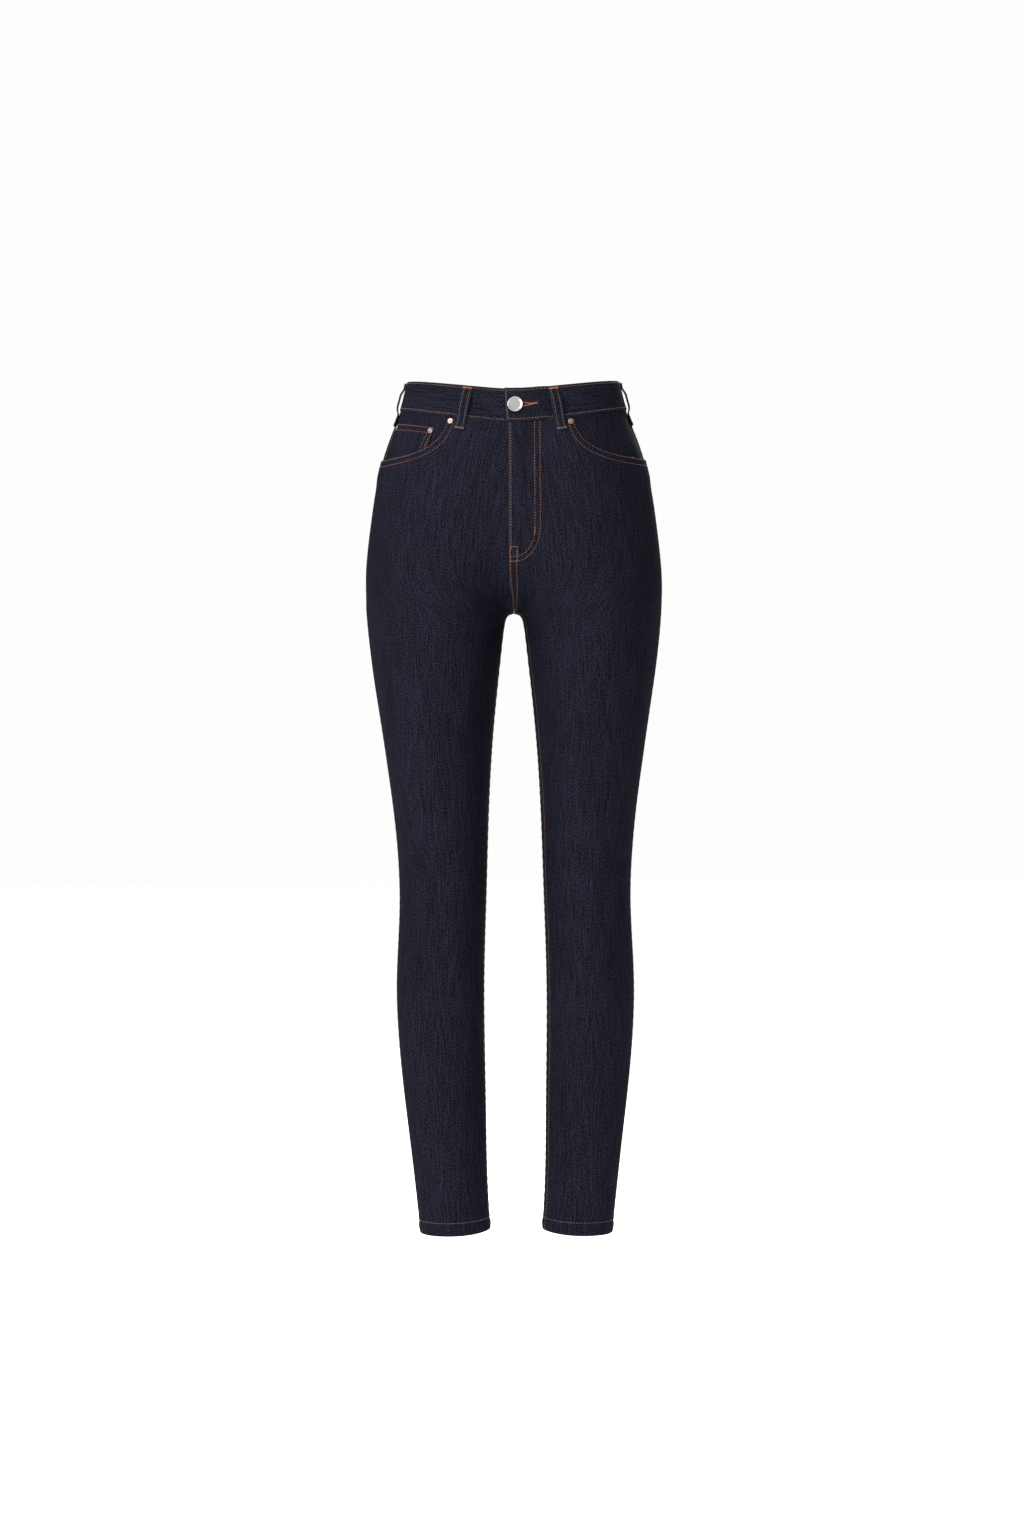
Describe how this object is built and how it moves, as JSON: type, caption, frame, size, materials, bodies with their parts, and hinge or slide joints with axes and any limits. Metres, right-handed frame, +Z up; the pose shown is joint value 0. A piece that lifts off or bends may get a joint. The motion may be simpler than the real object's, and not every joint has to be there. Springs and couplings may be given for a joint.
{
  "type": "skinny jeans",
  "caption": "High-rise skinny jeans as worn: hollow waist and legs open at both ends, lapped fly, scooped front pockets, patch back pockets, belt loops, shank button.",
  "frame": {"origin": "centre of the waist, halfway up the waistband at its sides", "axes": "+Z up towards the waist opening, -Y to the front, +X to the wearer's left"},
  "size_m": [0.326, 0.2301, 0.9372],
  "materials": {
    "denim": "dark indigo stretch twill",
    "button_metal": "satin nickel",
    "rivet_metal": "antique copper"
  },
  "bodies": {
    "root": {"front_left": "denim", "front_right": "denim", "back_left": "denim", "back_right": "denim", "yoke_left": "denim", "yoke_right": "denim", "waistband": "denim", "pocket_facing_left": "denim", "pocket_facing_right": "denim", "coin_pocket": "denim", "back_pocket_left": "denim", "back_pocket_right": "denim", "belt_loop_front_left": "denim", "belt_loop_front_right": "denim", "belt_loop_side_left": "denim", "belt_loop_side_right": "denim", "belt_loop_back": "denim", "button": "button_metal", "rivet_left": "rivet_metal", "rivet_right": "rivet_metal", "rivet_coin_inner": "rivet_metal", "rivet_coin_outer": "rivet_metal"}
  },
  "joints": []
}
